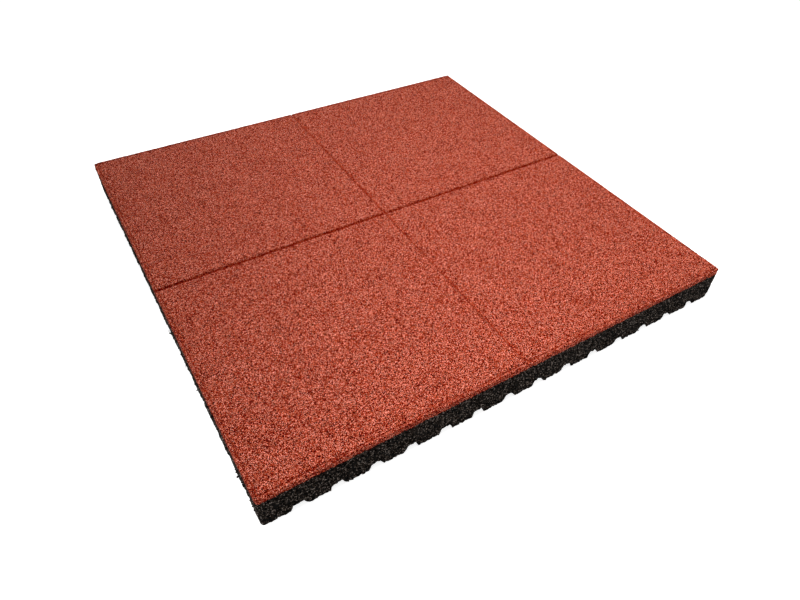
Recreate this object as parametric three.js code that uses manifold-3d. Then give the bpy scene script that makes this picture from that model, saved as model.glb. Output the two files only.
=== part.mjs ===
// A square rubber safety tile, in millimetres, with +Z up.
// The origin is the middle of the footprint at floor level, and the tile's sides run along X and Y.
// Two layers of bound rubber granulate are pressed onto each other: a thin coloured wear layer on a
// thick black base. The top has a 45 degree break along its edges, a fine crease just inside them and
// two V grooves that cross in its middle, so that one tile looks like four. The underside stands on a
// grid of square feet with drain channels between them, open at all four sides.
import * as THREE from "three";
import { mergeVertices } from "three/addons/utils/BufferGeometryUtils.js";
import Module from "manifold-3d";

// Overall size
const tileSide = 1000;
const tileThickness = 75;
const cornerRadius = 6; // the four upright corners, seen from above
const cornerSteps = 4;

// Wear layer
const wearThickness = 11;
const edgeBreak = 2; // leg of the 45 degree break along the top edges
const grooveWidth = 9; // V groove at the walking surface
const grooveDepth = 4;
const creaseInset = 6.5; // from the tile's sides to the bottom of the crease that runs along them
const creaseWidth = 3.5;
const creaseDepth = 1.2;

// Underside
const channelMouth = 27; // drain channel width at the floor
const channelRoof = 17; // and at its roof, so that the mould lets go
const channelHeight = 13;
const footWidth = 40.5; // every foot but the outermost ones, at the floor

// How far a cutter reaches past the face that it opens
const cutterOverrun = 5;

const baseThickness = tileThickness - wearThickness;
const channelPitch = footWidth + channelMouth;
const channelCount = Math.max(0, Math.floor((tileSide - footWidth) / channelPitch));
const firstChannel = -((channelCount - 1) * channelPitch) / 2;

const wasm = await Module();
wasm.setup();

function solidOf(geometry) {
  geometry.deleteAttribute("normal");
  geometry.deleteAttribute("uv");
  const merged = mergeVertices(geometry);
  return new wasm.Manifold(
    new wasm.Mesh({
      numProp: 3,
      vertProperties: new Float32Array(merged.attributes.position.array),
      triVerts: new Uint32Array(merged.index.array),
    })
  );
}

function geometryOf(solid) {
  const mesh = solid.getMesh();
  const geometry = new THREE.BufferGeometry();
  geometry.setAttribute("position", new THREE.BufferAttribute(mesh.vertProperties, 3));
  geometry.setIndex(new THREE.BufferAttribute(mesh.triVerts, 1));
  geometry.computeVertexNormals();
  return geometry;
}

function square() {
  const reach = tileSide / 2;
  const corners = [[reach, reach], [-reach, reach], [-reach, -reach], [reach, -reach]];
  return new THREE.Shape(corners.map(([x, y]) => new THREE.Vector2(x, y)));
}

// The tile seen from above: the square with small round corners
function footprint() {
  const reach = tileSide / 2;
  const centre = reach - cornerRadius;
  const outline = new THREE.Shape();
  outline.absarc(centre, centre, cornerRadius, 0, Math.PI / 2);
  outline.absarc(-centre, centre, cornerRadius, Math.PI / 2, Math.PI);
  outline.absarc(-centre, -centre, cornerRadius, Math.PI, Math.PI * 1.5);
  outline.absarc(centre, -centre, cornerRadius, Math.PI * 1.5, Math.PI * 2);
  return outline;
}

// A section drawn in X and Z becomes a bar along Y that runs out of the tile at both ends
function barAlongY(points) {
  const section = new THREE.Shape(points.map(([x, z]) => new THREE.Vector2(x, z)));
  const length = tileSide + 2 * cutterOverrun;
  const bar = new THREE.ExtrudeGeometry(section, { depth: length, bevelEnabled: false });
  bar.rotateX(Math.PI / 2);
  bar.translate(0, length / 2, 0);
  return bar;
}

// The same bar cuts once along Y and once along X
function cutBothWays(solid, bar, offset) {
  const alongY = bar.clone().translate(offset, 0, 0);
  const alongX = bar.clone().translate(offset, 0, 0).rotateZ(Math.PI / 2);
  return solid.subtract(solidOf(alongY)).subtract(solidOf(alongX));
}

// Widens a V or a channel in a straight line past the face that it opens
function widthBeyond(innerWidth, faceWidth, depth) {
  return faceWidth + ((faceWidth - innerWidth) / depth) * cutterOverrun;
}

// The crease's V, turned once round the tile's middle in four steps, so that it runs along the sides
// and its corners lie on the diagonals
function creaseRing() {
  const bottom = tileSide / 2 - creaseInset;
  const mouth = widthBeyond(0, creaseWidth, creaseDepth) / 2;
  const section = [
    [bottom, tileThickness - creaseDepth],
    [bottom + mouth, tileThickness + cutterOverrun],
    [bottom - mouth, tileThickness + cutterOverrun],
    [bottom, tileThickness - creaseDepth],
  ];
  const points = section.map(([reach, z]) => new THREE.Vector2(reach * Math.SQRT2, z));
  const ring = new THREE.LatheGeometry(points, 4, Math.PI / 4);
  ring.rotateX(Math.PI / 2);
  return ring;
}

function wearLayer() {
  const slab = new THREE.ExtrudeGeometry(footprint(), {
    depth: wearThickness,
    curveSegments: cornerSteps,
    bevelEnabled: false,
  });
  slab.translate(0, 0, baseThickness);

  // A block of the tile's full height, with its upper edges broken, trims the slab
  const block = new THREE.ExtrudeGeometry(square(), {
    depth: tileThickness - edgeBreak,
    bevelEnabled: true,
    bevelSegments: 1,
    bevelThickness: edgeBreak,
    bevelSize: edgeBreak,
    bevelOffset: -edgeBreak,
  });

  const mouth = widthBeyond(0, grooveWidth, grooveDepth) / 2;
  const groove = barAlongY([
    [0, tileThickness - grooveDepth],
    [mouth, tileThickness + cutterOverrun],
    [-mouth, tileThickness + cutterOverrun],
  ]);
  const layer = solidOf(slab).intersect(solidOf(block)).subtract(solidOf(creaseRing()));
  return cutBothWays(layer, groove, 0);
}

function baseLayer() {
  const block = new THREE.ExtrudeGeometry(footprint(), {
    depth: baseThickness,
    curveSegments: cornerSteps,
    bevelEnabled: false,
  });

  const mouth = widthBeyond(channelRoof, channelMouth, channelHeight) / 2;
  const channel = barAlongY([
    [-mouth, -cutterOverrun],
    [mouth, -cutterOverrun],
    [channelRoof / 2, channelHeight],
    [-channelRoof / 2, channelHeight],
  ]);
  let base = solidOf(block);
  for (let i = 0; i < channelCount; i += 1) {
    base = cutBothWays(base, channel, firstChannel + i * channelPitch);
  }
  return base;
}

function meshOf(name, solid, colour, roughness) {
  const material = new THREE.MeshStandardMaterial({ color: colour, roughness, metalness: 0 });
  const mesh = new THREE.Mesh(geometryOf(solid), material);
  mesh.name = name;
  return mesh;
}

const tile = new THREE.Group();
tile.add(meshOf("wear_layer", wearLayer(), 0xad5442, 0.85));
tile.add(meshOf("base_layer", baseLayer(), 0x1f1b18, 0.9));

export default tile;
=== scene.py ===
# Rubber safety tile: a brick-red wear layer of fine rubber granules on a black base of coarser ones.
# Both layers are rebuilt around their CAD solids with the relief of their granules, in metres.
import math
import random

import bmesh
import bpy
from mathutils import Euler, Matrix, Vector


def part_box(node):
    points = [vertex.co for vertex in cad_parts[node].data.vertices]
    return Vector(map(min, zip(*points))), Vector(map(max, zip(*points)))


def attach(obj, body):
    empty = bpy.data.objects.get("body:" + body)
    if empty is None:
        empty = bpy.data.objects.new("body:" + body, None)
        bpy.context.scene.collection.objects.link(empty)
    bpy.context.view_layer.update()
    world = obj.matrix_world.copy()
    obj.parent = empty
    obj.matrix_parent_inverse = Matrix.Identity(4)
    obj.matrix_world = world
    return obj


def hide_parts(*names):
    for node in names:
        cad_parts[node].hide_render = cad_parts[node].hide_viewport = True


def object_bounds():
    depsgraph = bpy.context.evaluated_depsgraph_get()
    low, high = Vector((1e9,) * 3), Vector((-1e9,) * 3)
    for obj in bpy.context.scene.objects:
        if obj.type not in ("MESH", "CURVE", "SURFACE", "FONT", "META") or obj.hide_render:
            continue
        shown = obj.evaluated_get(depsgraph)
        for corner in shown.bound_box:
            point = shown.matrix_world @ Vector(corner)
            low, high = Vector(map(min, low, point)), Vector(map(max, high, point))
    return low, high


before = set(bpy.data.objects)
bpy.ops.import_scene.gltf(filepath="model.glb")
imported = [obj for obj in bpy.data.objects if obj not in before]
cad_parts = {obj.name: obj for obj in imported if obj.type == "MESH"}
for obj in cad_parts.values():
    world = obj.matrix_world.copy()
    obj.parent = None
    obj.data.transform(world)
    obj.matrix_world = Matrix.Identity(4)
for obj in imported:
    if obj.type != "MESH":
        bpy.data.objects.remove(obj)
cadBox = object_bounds()

low, high = cadBox
half = (high.x - low.x) / 2  # from the tile's middle to a side
topLevel = high.z
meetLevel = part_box("base_layer")[1].z  # where the two layers meet
cornerRadius = 0.006  # the four upright corners, as on the solids
tolerance = 0.00001  # closer than this, two places count as the same


# Shared tools

def linear(hexColour):
    # An sRGB hex colour as the linear one that a shader takes
    parts = [int(hexColour[i:i + 2], 16) / 255 for i in (1, 3, 5)]
    return [c / 12.92 if c <= 0.04045 else ((c + 0.055) / 1.055) ** 2.4 for c in parts] + [1.0]


def linesBetween(stops, step):
    # Grid lines that pass through every stop, about a step apart
    lines = [stops[0]]
    for start, end in zip(stops, stops[1:]):
        count = max(1, round((end - start) / step))
        lines += [start + (end - start) * (i + 1) / count for i in range(count)]
    return lines


def gridOn(lines):
    # A square grid whose rows and columns lie on the given lines
    bm = bmesh.new()
    count = len(lines) - 1
    bmesh.ops.create_grid(bm, x_segments=count, y_segments=count, size=count / 2)
    for vert in bm.verts:
        vert.co.x = lines[round(vert.co.x + count / 2)]
        vert.co.y = lines[round(vert.co.y + count / 2)]
    return bm


def openRim(bm):
    return [edge for edge in bm.edges if edge.is_boundary]


def extrudeRim(bm, rim, place):
    # One more row of faces on an open rim; place moves each of its new points
    made = bmesh.ops.extrude_edge_only(bm, edges=rim)["geom"]
    fresh = {item for item in made if isinstance(item, bmesh.types.BMVert)}
    for vert in fresh:
        vert.co = place(vert.co)
    return [item for item in made if isinstance(item, bmesh.types.BMEdge) and set(item.verts) <= fresh]


def roundCorners(bm, radius):
    # Draws the points beyond the small round corners back onto them
    centre = half - radius
    for vert in bm.verts:
        out = Vector((abs(vert.co.x) - centre, abs(vert.co.y) - centre))
        if min(out) > 0 and out.length > radius:
            out *= radius / out.length
            vert.co.x = math.copysign(centre + out.x, vert.co.x)
            vert.co.y = math.copysign(centre + out.y, vert.co.y)


shallowestPit = 0.4  # as a share of the deepest one


def crumble(bm, look, freedom):
    # Moves the points in from the surface and sideways, some of them deep enough for a pit;
    # freedom gives the share of that movement which a point is allowed
    pick = random.Random(look["seed"])
    stray = look["step"] * look["wander"]
    bm.normal_update()
    for vert in bm.verts:
        depth = abs(pick.gauss(0, look["relief"]))
        if pick.random() < look["pitShare"]:
            depth += pick.uniform(shallowestPit, 1) * look["pitDepth"]
        side = Vector([pick.uniform(-stray, stray) for axis in range(3)])
        side -= vert.normal * side.dot(vert.normal)
        vert.co += (side - vert.normal * depth) * freedom(vert.co)
        vert.co.z = max(low.z, min(topLevel, vert.co.z))


def finishPiece(bm, name, material, node=None):
    bmesh.ops.recalc_face_normals(bm, faces=bm.faces)
    mesh = bpy.data.meshes.new(name)
    bm.to_mesh(mesh)
    bm.free()
    piece = bpy.data.objects.new(name, mesh)
    bpy.context.scene.collection.objects.link(piece)
    mesh.materials.append(material)
    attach(piece, "root")
    if node:
        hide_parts(node)
    mesh.calc_loop_triangles()
    print(f"{name}: {len(mesh.loop_triangles)} triangles")


def addNode(tree, kind, inputs=None, **settings):
    # Adds a node with its settings; an input takes a value or another node's output
    node = tree.nodes.new(kind)
    for name, value in settings.items():
        setattr(node, name, value)
    for key, value in (inputs or {}).items():
        if isinstance(value, bpy.types.NodeSocket):
            tree.links.new(value, node.inputs[key])
        else:
            node.inputs[key].default_value = value
    return node


def setRamp(node, stops):
    ramp = node.color_ramp
    while len(ramp.elements) < len(stops):
        ramp.elements.new(0.5)
    for element, (place, colour) in zip(ramp.elements, stops):
        element.position = place
        element.color = linear(colour)


# Materials

# Coloured crumbs pressed with a binder: matt and no shine; the crowns are painted light and the gaps dark
# red, as painted light and painted shade
redLook = {
    "name": "pigmented_rubber_granulate_pressed",
    "grain": 0.0010,  # size of one granule
    "crumb": 0.0009,  # size of the crumbs laid over them, drawn coarser than dust so that they show
    "shades": [  # from the painted shade of the deepest gaps to the painted light of the crowns
        (0.35, "#080000"), (0.52, "#620000"), (0.69, "#a81b02"), (0.82, "#dc6f42"), (0.94, "#fca897")],
    "mottle": 0.70,  # how far one granule's tone strays from the next one's
    "fleck": 0.22,  # the same for the crumbs
    "roughness": 0.8,
    "specular": 0.03,
    "bump": 0.0005,
}

# Shredded tyres pressed with a binder: near black with grey-brown flecks where a cut face catches light
blackLook = {
    "name": "tyre_rubber_granulate_pressed",
    "grain": 0.0022,
    "crumb": 0.0010,
    "shades": [(0.42, "#000000"), (0.64, "#040201"), (0.84, "#2b1f14"), (1.0, "#857b75")],
    "mottle": 0.68,
    "fleck": 0.24,
    "roughness": 0.8,
    "specular": 0.03,
    "bump": 0.0007,
}


# The pattern's relief, with its heights in parts of a look's bump
gapReach = 0.25  # how far a gap reaches into a granule, as a share of the granule's size; in it the tone is painted darker, as shade, and the relief lies lower
granuleLift = 0.35  # how much higher one granule may lie than the next, where a gap is gapReach deep
crumbLift = 0.15  # the same for the crumbs


def granulate(look, addPaintedShade=None):
    # Cells are the granules and their borders the gaps; their tone is a place on the scale of shades,
    # differing at random from granule to granule, with painted shade towards the gaps and painted light on
    # the crowns
    material = bpy.data.materials.new(look["name"])
    material.use_nodes = True
    tree = material.node_tree
    tree.nodes.clear()
    place = addNode(tree, "ShaderNodeTexCoord").outputs["Object"]
    size = {"Vector": place, "Scale": 1 / look["grain"]}
    cells = addNode(tree, "ShaderNodeTexVoronoi", size)
    gaps = addNode(tree, "ShaderNodeTexVoronoi", size, feature="DISTANCE_TO_EDGE")
    crumbs = addNode(tree, "ShaderNodeTexVoronoi", {"Vector": place, "Scale": 1 / look["crumb"]})
    granule = addNode(tree, "ShaderNodeSeparateColor", {"Color": cells.outputs["Color"]})
    crumb = addNode(tree, "ShaderNodeSeparateColor", {"Color": crumbs.outputs["Color"]})
    gap = addNode(tree, "ShaderNodeMath", {0: gaps.outputs["Distance"], 1: gapReach}, operation="MINIMUM")
    # Nearer a gap the tone falls, as painted shade, and it rises on the crowns, as painted light
    coarse = addNode(tree, "ShaderNodeMath", {
        0: granule.outputs["Red"], 1: look["mottle"], 2: gap.outputs[0]}, operation="MULTIPLY_ADD")
    tone = addNode(tree, "ShaderNodeMath", {
        0: crumb.outputs["Red"], 1: look["fleck"], 2: coarse.outputs[0]}, operation="MULTIPLY_ADD")
    tone = tone.outputs[0]
    # A look may lay painted shade into its tone
    if addPaintedShade:
        tone = addPaintedShade(tree, place, tone)
    shades = addNode(tree, "ShaderNodeValToRGB", {"Fac": tone})
    setRamp(shades, look["shades"])
    lift = addNode(tree, "ShaderNodeMath", {
        0: granule.outputs["Green"], 1: granuleLift, 2: gap.outputs[0]}, operation="MULTIPLY_ADD")
    relief = addNode(tree, "ShaderNodeMath", {
        0: crumb.outputs["Green"], 1: crumbLift, 2: lift.outputs[0]}, operation="MULTIPLY_ADD")
    bump = addNode(tree, "ShaderNodeBump", {
        "Height": relief.outputs[0], "Strength": 1.0, "Distance": look["bump"]})
    shader = addNode(tree, "ShaderNodeBsdfPrincipled", {
        "Base Color": shades.outputs["Color"], "Roughness": look["roughness"], "IOR": 1.5,
        "Specular IOR Level": look["specular"], "Normal": bump.outputs["Normal"]})
    addNode(tree, "ShaderNodeOutputMaterial", {"Surface": shader.outputs["BSDF"]})
    print(f"{look['name']}: {len(tree.nodes)} nodes")
    return material


# Wear layer

wear = {
    "step": 0.0034,  # between the facets' corners on the walking surface
    "edgeRadius": 0.0020,
    "edgeRows": 2,
    "creaseIn": 0.0065,  # a fine crease runs along all four edges, this far inside them
    "creaseWidth": 0.0035,
    "creaseDepth": 0.0015,  # a little deeper than on the solid, to show between the granules
    "grooveWidth": 0.009,
    "grooveDepth": 0.004,
    "paintedShadeTone": 0.57,  # painted shade: a dark red that the bottoms of the grooves and the crease are drawn towards
    "groovePaintedShade": (0.32, 0.60),  # how far the grooves' bottoms are drawn to it, in the front-to-back and in the cross groove
    # and how far the crease's bottom is
    "creasePaintedShade": 0.35,
    "sidePaintedShade": 0.05,  # painted shade: how much darker the four sides are drawn
    "sideFade": (0.0022, 0.0012),  # their painted shade sets in between these distances from the sides
    "sideRows": 3,
    "wander": 0.30,  # share of a step that a facet's corner may stray sideways
    "relief": 0.0002,
    "pitShare": 0.06,
    "pitDepth": 0.0006,
    "calm": 0.15,  # share of all this movement that is left in the grooves and the crease
    "calmReach": 1.1,  # and in a strip this much wider than they are
    "seed": 11,
}

lip = wear["grooveWidth"] / 2
crease = half - wear["creaseIn"]
creaseHalf = wear["creaseWidth"] / 2


def buildWearLayer():
    radius = wear["edgeRadius"]
    flat = half - radius
    steps = [0, lip / 2, lip, crease - creaseHalf, crease, crease + creaseHalf, flat]
    bm = gridOn(linesBetween([-u for u in steps[:0:-1]] + steps, wear["step"]))

    def depthAt(u):
        groove = wear["grooveDepth"] * max(0, 1 - abs(u) / lip)
        fold = wear["creaseDepth"] * max(0, 1 - abs(abs(u) - crease) / creaseHalf)
        return groove + fold

    for vert in bm.verts:
        vert.co.z = topLevel - max(depthAt(vert.co.x), depthAt(vert.co.y))

    def movedOut(u, far, reach):
        return math.copysign(reach, u) if abs(u) > far - tolerance else u

    rim = openRim(bm)
    far = flat
    for row in range(wear["edgeRows"]):
        angle = math.pi / 2 * (row + 1) / wear["edgeRows"]
        reach = flat + radius * math.sin(angle)
        level = topLevel - radius * (1 - math.cos(angle))
        rim = extrudeRim(bm, rim, lambda co: Vector((
            movedOut(co.x, far, reach), movedOut(co.y, far, reach), min(co.z, level))))
        far = reach
    for row in range(wear["sideRows"]):
        left = wear["sideRows"] - row
        rim = extrudeRim(bm, rim, lambda co: Vector((co.x, co.y, co.z + (meetLevel - co.z) / left)))
    bmesh.ops.edgeloop_fill(bm, edges=rim)
    roundCorners(bm, cornerRadius)
    bmesh.ops.recalc_face_normals(bm, faces=bm.faces)
    return bm


def wearPaintedShade(tree, place, tone):
    # Paints shade into the tone: the bottoms of the grooves and the crease are drawn to a dark red, as
    # their depth alone shades them too little, and the sides are painted darker too
    axes = addNode(tree, "ShaderNodeSeparateXYZ", {"Vector": place})
    across = [addNode(tree, "ShaderNodeMath", {0: axes.outputs[axis]}, operation="ABSOLUTE")
              for axis in "XY"]
    far = addNode(tree, "ShaderNodeMath", {
        0: across[0].outputs[0], 1: across[1].outputs[0]}, operation="MAXIMUM")
    off = addNode(tree, "ShaderNodeMath", {0: far.outputs[0], 1: crease}, operation="SUBTRACT")
    off = addNode(tree, "ShaderNodeMath", {0: off.outputs[0]}, operation="ABSOLUTE")
    grooves = [addNode(tree, "ShaderNodeMapRange", {
        "Value": node.outputs[0], "From Min": 0.0, "From Max": lip, "To Min": shade, "To Max": 0.0})
        for node, shade in zip(across, wear["groovePaintedShade"])]
    groove = addNode(tree, "ShaderNodeMath", {
        0: grooves[0].outputs[0], 1: grooves[1].outputs[0]}, operation="MAXIMUM")
    fold = addNode(tree, "ShaderNodeMapRange", {
        "Value": off.outputs[0], "From Min": 0.0, "From Max": creaseHalf,
        "To Min": wear["creasePaintedShade"], "To Max": 0.0})
    lines = addNode(tree, "ShaderNodeMath", {0: groove.outputs[0], 1: fold.outputs[0]}, operation="MAXIMUM")
    lined = addNode(tree, "ShaderNodeMix", {0: lines.outputs[0], 2: tone, 3: wear["paintedShadeTone"]})
    fadeStart, fadeEnd = wear["sideFade"]
    side = addNode(tree, "ShaderNodeMapRange", {
        "Value": far.outputs[0], "From Min": half - fadeStart, "From Max": half - fadeEnd,
        "To Min": 0.0, "To Max": 1.0})
    onSide = addNode(tree, "ShaderNodeMath", {0: tone, 1: wear["sidePaintedShade"]}, operation="SUBTRACT")
    either = addNode(tree, "ShaderNodeMix", {0: side.outputs[0], 2: lined.outputs[0], 3: onSide.outputs[0]})
    return either.outputs[0]


def wearFreedom(co):
    # The seam stays put, and the lines stay sharper than the open surface
    if co.z < meetLevel + tolerance:
        return 0
    near, far = sorted((abs(co.x), abs(co.y)))
    inGroove = near < lip * wear["calmReach"]
    inCrease = abs(far - crease) < creaseHalf * wear["calmReach"]
    return wear["calm"] if inGroove or inCrease else 1


# The red gets painted shade in its grooves, its crease and on its sides
redMaterial = granulate(redLook, wearPaintedShade)
blackMaterial = granulate(blackLook)

wearMesh = buildWearLayer()
crumble(wearMesh, wear, wearFreedom)
finishPiece(wearMesh, "wear_granulate", redMaterial, "wear_layer")


# Base layer

base = {
    "step": 0.0060,
    "channelMouth": 0.027,
    "channelRoof": 0.017,
    "channelHeight": 0.013,
    "footWidth": 0.0405,
    "sideRows": 20,
    "wander": 0.25,
    "relief": 0.0006,
    "pitShare": 0.16,
    "pitDepth": 0.0018,
    "wornCorner": (0.010, 0.028),  # reach along the sides and upwards, at the right-hand front corner
    "seed": 23,
}

pitch = base["footWidth"] + base["channelMouth"]
channelCount = math.floor((2 * half - base["footWidth"]) / pitch)
channels = [(i - (channelCount - 1) / 2) * pitch for i in range(channelCount)]


def channelAt(u):
    # Height of the free space under the tile at a place across the channels
    roof, mouth = base["channelRoof"] / 2, base["channelMouth"] / 2
    near = min(abs(u - centre) for centre in channels)
    return base["channelHeight"] * min(1, max(0, (mouth - near) / (mouth - roof)))


def buildBaseLayer():
    roof, mouth = base["channelRoof"] / 2, base["channelMouth"] / 2
    stops = [-half] + [c + d for c in channels for d in (-mouth, -roof, roof, mouth)] + [half]
    bm = gridOn(linesBetween(stops, base["step"]))
    for vert in bm.verts:
        vert.co.z = low.z + max(channelAt(vert.co.x), channelAt(vert.co.y))

    bmesh.ops.subdivide_edges(bm, edges=openRim(bm), cuts=1)
    rim = openRim(bm)
    for row in range(base["sideRows"]):
        left = base["sideRows"] - row
        rim = extrudeRim(bm, rim, lambda co: Vector((co.x, co.y, co.z + (meetLevel - co.z) / left)))
    bmesh.ops.edgeloop_fill(bm, edges=rim)
    roundCorners(bm, cornerRadius)
    bmesh.ops.recalc_face_normals(bm, faces=bm.faces)
    return bm


def wearOffCorner(bm):
    # The lower end of one corner is worn to a slanting face
    reach, rise = base["wornCorner"]
    corner = Vector((half, -half, low.z))
    outward = Vector((1 / reach, -1 / reach, -1 / rise)).normalized()
    limit = outward.dot(corner + Vector((0, 0, rise)))
    for vert in bm.verts:
        beyond = outward.dot(vert.co) - limit
        if beyond > 0:
            vert.co -= outward * beyond


baseMesh = buildBaseLayer()
wearOffCorner(baseMesh)
crumble(baseMesh, base, lambda co: 0 if co.z > meetLevel - tolerance else 1)
finishPiece(baseMesh, "base_granulate", blackMaterial, "base_layer")


# Single granules that stand proud of the sides

redGranules = {
    "count": 8000,
    "size": (0.0016, 0.0030),
    "sunk": 0.6,  # how far a granule's middle lies inside the side, as a share of its radius
    "belowTop": 0.0012,  # no granule's middle lies closer to the top
    "seed": 31,
}

blackGranules = {
    "count": 9500,
    "size": (0.0020, 0.0050),
    "sunk": 0.55,
    "looseShare": 0.012,  # a few hang on by a corner
    "looseOut": 0.0026,  # and stand out this much further
    "aboveChannel": 0.0024,  # no granule's middle lies closer to the floor or a channel's roof
    "seed": 37,
}

# The line where the two layers meet
seam = {
    "stray": 0.00288,  # the most that it strays up or down
    "waves": (97, 163, 271, 449, 743),  # in radians a metre
    "band": 0.0030,  # so far up and down from it, there are more granules
    "share": 0.45,  # and this share of them all lies there
}

stretches = (0.7, 1.2)  # from a flat granule to a long one
batchSize = 40  # granules made together, because a small bmesh grows faster than a large one


def addGranule(bm, pick, look, spot):
    # A faceted crumb, turned and stretched its own way and partly sunk into one of the four sides
    radius = pick.uniform(*look["size"]) / 2
    along, inward, level = spot
    place = Vector((along, -half + inward + radius * look["sunk"], level))
    place.rotate(Euler((0, 0, pick.randrange(4) * math.pi / 2)))
    turn = Euler([pick.uniform(0, math.tau) for axis in range(3)])
    stretch = Vector([pick.uniform(*stretches) for axis in range(3)])
    matrix = Matrix.LocRotScale(place, turn, stretch)
    bmesh.ops.create_icosphere(bm, subdivisions=1, radius=radius, matrix=matrix)


def scatterGranules(look, spotOf):
    pick = random.Random(look["seed"])
    spots = [spotOf(pick) for granule in range(look["count"])]
    whole = bmesh.new()
    for start in range(0, len(spots), batchSize):
        bm = bmesh.new()
        for spot in spots[start:start + batchSize]:
            addGranule(bm, pick, look, spot)
        mesh = bpy.data.meshes.new("batch")
        bm.to_mesh(mesh)
        bm.free()
        whole.from_mesh(mesh)
        bpy.data.meshes.remove(mesh)
    return whole


def seamLevel(along):
    # The layers don't meet in a straight line, because both were loose when they were pressed
    waves = [math.sin(along * turns + turns) for turns in seam["waves"]]
    return meetLevel + seam["stray"] * sum(waves) / len(waves)


def redSpot(pick):
    # A place above the seam: how far along the side, how far in, and how high up
    along = pick.uniform(-1, 1) * (half - cornerRadius)
    top = topLevel - redGranules["belowTop"]
    reach = seam["band"] if pick.random() < seam["share"] else top - meetLevel
    level = min(top, seamLevel(along) + pick.uniform(0, reach))
    bend = max(0, level - topLevel + wear["edgeRadius"])
    return along, wear["edgeRadius"] - math.sqrt(wear["edgeRadius"] ** 2 - bend ** 2), level


def blackSpot(pick):
    # The same below the seam
    along = pick.uniform(-1, 1) * (half - cornerRadius)
    lowest = channelAt(along) + blackGranules["aboveChannel"]
    reach = seam["band"] if pick.random() < seam["share"] else seamLevel(along) - lowest
    out = blackGranules["looseOut"] if pick.random() < blackGranules["looseShare"] else 0
    return along, -out, seamLevel(along) - pick.uniform(0, reach)


redMesh = scatterGranules(redGranules, redSpot)
finishPiece(redMesh, "wear_edge_granules", redMaterial)
blackMesh = scatterGranules(blackGranules, blackSpot)
finishPiece(blackMesh, "base_side_granules", blackMaterial)


# Studio

studio = {
    "floor": "#d8d8d6",
    "floorSide": 60.0,
    "floorGlow": 0.84,  # a table that is lit from below, so that the tile casts hardly any shadow
    "floorRoughness": 0.9,
    "floorSpecular": 0.1,
    "room": 0.34,  # the light that the room gives
    "lampRadius": 0.25,
}

# Each lamp's place, the point that it's aimed at, its watts and the angle of its cone
lamps = {
    "key": ((-0.34, 2.11, 2.40), (0.44, -0.46, 0.0), 375, 60),
    "fill": ((-1.06, -0.39, 2.37), (0.95, -1.00, 0.0), 256, 75),
}


def buildStudio():
    bm = bmesh.new()
    bmesh.ops.create_grid(bm, x_segments=1, y_segments=1, size=studio["floorSide"] / 2)
    mesh = bpy.data.meshes.new("studio_floor")
    bm.to_mesh(mesh)
    bm.free()
    floor = bpy.data.objects.new("studio_floor", mesh)
    bpy.context.scene.collection.objects.link(floor)
    paint = bpy.data.materials.new("light_table")
    paint.use_nodes = True
    shader = paint.node_tree.nodes["Principled BSDF"]
    shader.inputs["Base Color"].default_value = linear(studio["floor"])
    shader.inputs["Roughness"].default_value = studio["floorRoughness"]
    shader.inputs["Specular IOR Level"].default_value = studio["floorSpecular"]
    shader.inputs["Emission Color"].default_value = (1, 1, 1, 1)
    shader.inputs["Emission Strength"].default_value = studio["floorGlow"]
    mesh.materials.append(paint)

    world = bpy.data.worlds.new("soft_room")
    bpy.context.scene.world = world
    world.use_nodes = True
    background = world.node_tree.nodes["Background"]
    background.inputs["Color"].default_value = (1, 1, 1, 1)
    # The room looks as white as the floor but gives less light than that
    ray = addNode(world.node_tree, "ShaderNodeLightPath")
    strength = addNode(world.node_tree, "ShaderNodeMath", {
        0: ray.outputs["Is Camera Ray"], 1: 1 - studio["room"], 2: studio["room"]},
        operation="MULTIPLY_ADD")
    world.node_tree.links.new(strength.outputs[0], background.inputs["Strength"])

    for name, (place, aim, watts, cone) in lamps.items():
        data = bpy.data.lights.new(name, "SPOT")
        data.energy = watts
        data.spot_size = math.radians(cone)
        data.spot_blend = 1.0
        data.shadow_soft_size = studio["lampRadius"]
        lamp = bpy.data.objects.new(name, data)
        lamp.location = place
        lamp.rotation_euler = (Vector(aim) - Vector(place)).to_track_quat("-Z", "Y").to_euler()
        bpy.context.scene.collection.objects.link(lamp)
    print(f"studio: floor, room and {len(lamps)} lamps")


view = {
    "location": (-0.5639, -0.9853, 0.9176),
    "turn": (45.653, -2.088, -32.116),
    "lens": 28.706,
    "shift": (-0.0256, 0.0003),
}


def buildCamera():
    data = bpy.data.cameras.new("camera")
    data.lens = view["lens"]
    data.shift_x, data.shift_y = view["shift"]
    camera = bpy.data.objects.new("camera", data)
    camera.location = view["location"]
    camera.rotation_euler = [math.radians(angle) for angle in view["turn"]]
    bpy.context.scene.collection.objects.link(camera)
    bpy.context.scene.camera = camera
    print(f"camera: {view['lens']} mm lens")


buildStudio()
buildCamera()
bpy.context.scene.view_settings.view_transform = "Standard"
